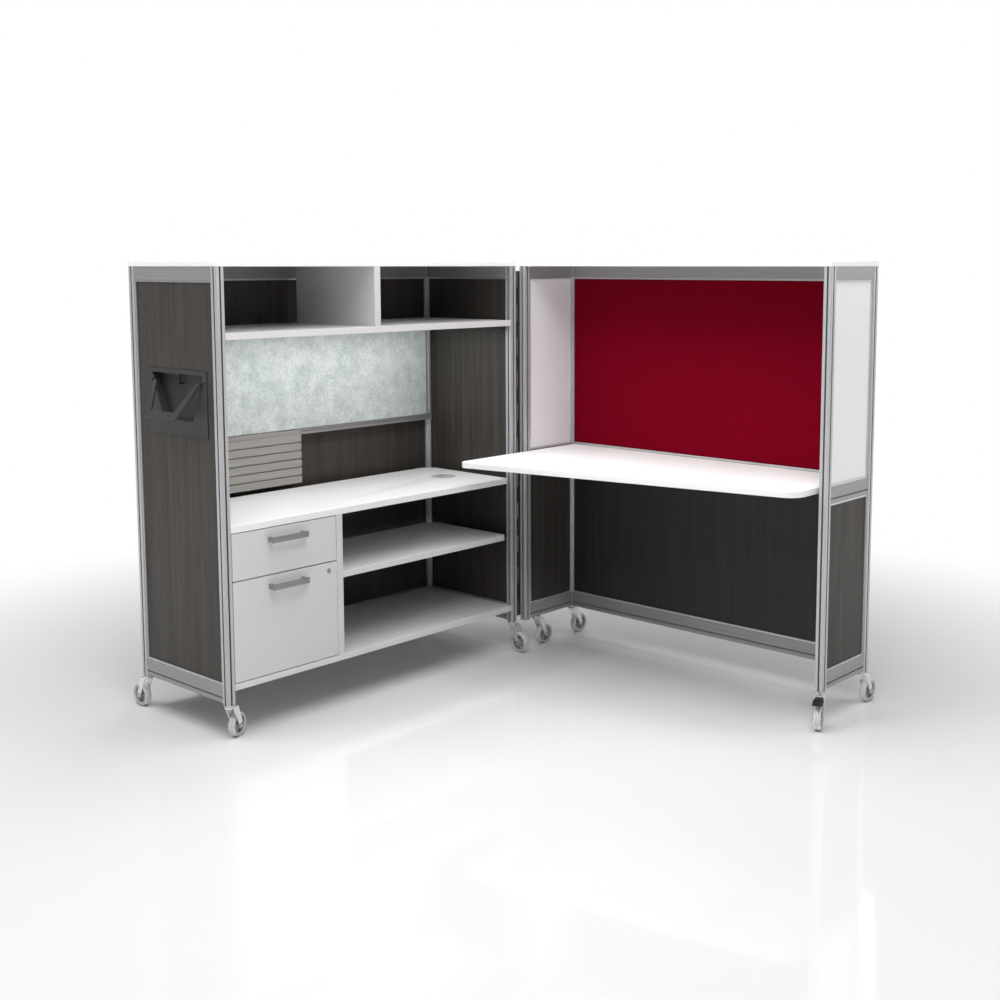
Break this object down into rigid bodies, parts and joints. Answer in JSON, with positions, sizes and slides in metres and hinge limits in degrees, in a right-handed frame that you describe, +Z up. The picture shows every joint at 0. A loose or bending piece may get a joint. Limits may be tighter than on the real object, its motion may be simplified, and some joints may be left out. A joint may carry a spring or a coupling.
{
  "type": "folding cubicle workstation",
  "caption": "Folding workstation on casters: a shelved storage half with drawers and a desk half with a sloping desk top, joined by a long upright hinge.",
  "frame": {"origin": "middle of the bounding box on the floor, with the two halves open at a right angle", "axes": "+X along the desk half from the hinge to its far side, which is also the way the storage half faces; +Y from the desk half's front to its back; +Z up"},
  "size_m": [1.8784, 1.748, 1.471],
  "materials": {
    "aluminium": "satin anodised",
    "bead": "satin",
    "wood_laminate": "matt grey-brown laminate, upright grain",
    "white_laminate": "satin laminate",
    "display_board": "matt, mottled blue-grey",
    "slats": "satin warm grey",
    "dark_steel": "satin",
    "grey_plastic": "satin",
    "zinc": "zinc plated",
    "drawer_steel": "satin light grey",
    "pan_steel": "satin dark grey",
    "black_plastic": "satin",
    "black_steel": "satin",
    "light_panel": "satin laminate",
    "red_fabric": "dark red woven cloth",
    "black_panel": "matt laminate",
    "fork_zinc": "bright zinc plated",
    "wheel_grey": "translucent light grey"
  },
  "bodies": {
    "storage_half": {"storage_posts": "aluminium", "storage_rails": "aluminium", "storage_beads": "bead", "storage_wall_panels": "wood_laminate", "storage_top_panel": "white_laminate", "storage_shelves": "white_laminate", "upper_divider": "white_laminate", "display_board": "display_board", "tool_rail": "aluminium", "slat_panel": "slats", "storage_worksurface": "white_laminate", "storage_brackets": "dark_steel", "grommet_ring": "aluminium", "pedestal_panels": "white_laminate", "runner_cabinet_members": "zinc", "handle_pan": "pan_steel", "storage_hinge_leaf": "black_steel", "hinge_pin": "zinc", "storage_caster_stems": "zinc"},
    "grommet_cap": {"grommet_cap": "grey_plastic"},
    "box_runner": {"box_runner_middles": "zinc"},
    "file_runner": {"file_runner_middles": "zinc"},
    "box_drawer": {"box_drawer_tray": "drawer_steel", "box_drawer_front": "white_laminate", "box_drawer_pull": "aluminium"},
    "file_drawer": {"file_drawer_tray": "drawer_steel", "file_drawer_front": "white_laminate", "file_drawer_pull": "aluminium"},
    "drawer_lock": {"lock_plug": "zinc"},
    "bail": {"bail_handle": "pan_steel"},
    "latch": {"handle_latch": "black_plastic"},
    "desk_half": {"desk_posts": "aluminium", "desk_rails": "aluminium", "desk_beads": "bead", "desk_side_panels": "light_panel", "desk_lower_panels": "wood_laminate", "tack_panel": "red_fabric", "desk_back_panel": "black_panel", "desk_worksurface": "white_laminate", "desk_brackets": "dark_steel", "desk_top_panel": "white_laminate", "desk_hinge_leaf": "black_steel", "desk_caster_stems": "zinc"},
    "brake": {"brake_pedal": "black_plastic"},
    "fork_storage_front_body": {"fork_storage_front": "fork_zinc"},
    "wheel_storage_front_body": {"wheel_storage_front": "wheel_grey"},
    "fork_storage_hinge_body": {"fork_storage_hinge": "fork_zinc"},
    "wheel_storage_hinge_body": {"wheel_storage_hinge": "wheel_grey"},
    "fork_storage_back_body": {"fork_storage_back": "fork_zinc"},
    "wheel_storage_back_body": {"wheel_storage_back": "wheel_grey"},
    "fork_storage_back_hinge_body": {"fork_storage_back_hinge": "fork_zinc"},
    "wheel_storage_back_hinge_body": {"wheel_storage_back_hinge": "wheel_grey"},
    "fork_desk_front_body": {"fork_desk_front": "fork_zinc"},
    "wheel_desk_front_body": {"wheel_desk_front": "wheel_grey"},
    "fork_desk_hinge_body": {"fork_desk_hinge": "fork_zinc"},
    "wheel_desk_hinge_body": {"wheel_desk_hinge": "wheel_grey"},
    "fork_desk_back_body": {"fork_desk_back": "fork_zinc"},
    "wheel_desk_back_body": {"wheel_desk_back": "wheel_grey"},
    "fork_desk_back_hinge_body": {"fork_desk_back_hinge": "fork_zinc"},
    "wheel_desk_back_hinge_body": {"wheel_desk_back_hinge": "wheel_grey"}
  },
  "joints": [
    {"name": "main_hinge", "type": "hinge", "parent": "storage_half", "child": "desk_half", "pos_m": [-0.39722, 0.49405, 0.784], "axis": [0, 0, 1], "range_deg": [-90, 90]},
    {"name": "box_drawer_slide", "type": "slide", "parent": "storage_half", "child": "box_drawer", "axis": [1, 0, 0], "range_m": [0, 0.32]},
    {"name": "file_drawer_slide", "type": "slide", "parent": "storage_half", "child": "file_drawer", "axis": [1, 0, 0], "range_m": [0, 0.35]},
    {"name": "box_runner_slide", "type": "slide", "parent": "storage_half", "child": "box_runner", "axis": [1, 0, 0], "range_m": [0, 0.16]},
    {"name": "file_runner_slide", "type": "slide", "parent": "storage_half", "child": "file_runner", "axis": [1, 0, 0], "range_m": [0, 0.175]},
    {"name": "lock_turn", "type": "hinge", "parent": "file_drawer", "child": "drawer_lock", "pos_m": [-0.39322, -0.40995, 0.467], "axis": [1, 0, 0], "range_deg": [0, 90]},
    {"name": "bail_swing", "type": "hinge", "parent": "storage_half", "child": "bail", "pos_m": [-0.62272, -0.80895, 1.096], "axis": [-1, 0, 0], "range_deg": [0, 60]},
    {"name": "latch_press", "type": "slide", "parent": "storage_half", "child": "latch", "axis": [0, 0, 1], "range_m": [0, 0.004], "stiffness_N_per_m": 300},
    {"name": "grommet_cap_turn", "type": "hinge", "parent": "storage_half", "child": "grommet_cap", "pos_m": [-0.60622, 0.31505, 0.668], "axis": [0, 0, 1], "continuous": true},
    {"name": "swivel_storage_front", "type": "hinge", "parent": "storage_half", "child": "fork_storage_front_body", "pos_m": [-0.40722, -0.79595, 0.104], "axis": [0, 0, 1], "continuous": true},
    {"name": "roll_storage_front", "type": "hinge", "parent": "fork_storage_front_body", "child": "wheel_storage_front_body", "pos_m": [-0.42363, -0.75729, 0.038], "axis": [-0.9205, -0.3907, 0], "continuous": true},
    {"name": "swivel_storage_hinge", "type": "hinge", "parent": "storage_half", "child": "fork_storage_hinge_body", "pos_m": [-0.40722, 0.47605, 0.104], "axis": [0, 0, 1], "continuous": true},
    {"name": "roll_storage_hinge", "type": "hinge", "parent": "fork_storage_hinge_body", "child": "wheel_storage_hinge_body", "pos_m": [-0.36522, 0.47605, 0.038], "axis": [0, 1, 0], "continuous": true},
    {"name": "swivel_storage_back", "type": "hinge", "parent": "storage_half", "child": "fork_storage_back_body", "pos_m": [-0.85922, -0.79595, 0.104], "axis": [0, 0, 1], "continuous": true},
    {"name": "roll_storage_back", "type": "hinge", "parent": "fork_storage_back_body", "child": "wheel_storage_back_body", "pos_m": [-0.90122, -0.79595, 0.038], "axis": [0, -1, 0], "continuous": true},
    {"name": "swivel_storage_back_hinge", "type": "hinge", "parent": "storage_half", "child": "fork_storage_back_hinge_body", "pos_m": [-0.85922, 0.47605, 0.104], "axis": [0, 0, 1], "continuous": true},
    {"name": "roll_storage_back_hinge", "type": "hinge", "parent": "fork_storage_back_hinge_body", "child": "wheel_storage_back_hinge_body", "pos_m": [-0.90122, 0.47605, 0.038], "axis": [0, -1, 0], "continuous": true},
    {"name": "swivel_desk_front", "type": "hinge", "parent": "desk_half", "child": "fork_desk_front_body", "pos_m": [0.89278, 0.52205, 0.104], "axis": [0, 0, 1], "continuous": true},
    {"name": "roll_desk_front", "type": "hinge", "parent": "fork_desk_front_body", "child": "wheel_desk_front_body", "pos_m": [0.90919, 0.48339, 0.038], "axis": [0.9205, 0.3907, 0], "continuous": true},
    {"name": "brake_press", "type": "hinge", "parent": "fork_desk_front_body", "child": "brake", "pos_m": [0.90137, 0.5018, 0.095], "axis": [0.9205, 0.3907, 0], "range_deg": [0, 10], "stiffness_Nm_per_rad": 0.4},
    {"name": "swivel_desk_hinge", "type": "hinge", "parent": "desk_half", "child": "fork_desk_hinge_body", "pos_m": [-0.37922, 0.58405, 0.104], "axis": [0, 0, 1], "continuous": true},
    {"name": "roll_desk_hinge", "type": "hinge", "parent": "fork_desk_hinge_body", "child": "wheel_desk_hinge_body", "pos_m": [-0.37922, 0.62605, 0.038], "axis": [-1, 0, 0], "continuous": true},
    {"name": "swivel_desk_back", "type": "hinge", "parent": "desk_half", "child": "fork_desk_back_body", "pos_m": [0.89278, 0.79405, 0.104], "axis": [0, 0, 1], "continuous": true},
    {"name": "roll_desk_back", "type": "hinge", "parent": "fork_desk_back_body", "child": "wheel_desk_back_body", "pos_m": [0.89278, 0.83605, 0.038], "axis": [-1, 0, 0], "continuous": true},
    {"name": "swivel_desk_back_hinge", "type": "hinge", "parent": "desk_half", "child": "fork_desk_back_hinge_body", "pos_m": [-0.37922, 0.79405, 0.104], "axis": [0, 0, 1], "continuous": true},
    {"name": "roll_desk_back_hinge", "type": "hinge", "parent": "fork_desk_back_hinge_body", "child": "wheel_desk_back_hinge_body", "pos_m": [-0.37922, 0.83605, 0.038], "axis": [-1, 0, 0], "continuous": true}
  ],
  "couplings": [
    {"joint": "box_runner_slide", "follows": "box_drawer_slide", "ratio": 0.5},
    {"joint": "file_runner_slide", "follows": "file_drawer_slide", "ratio": 0.5}
  ]
}
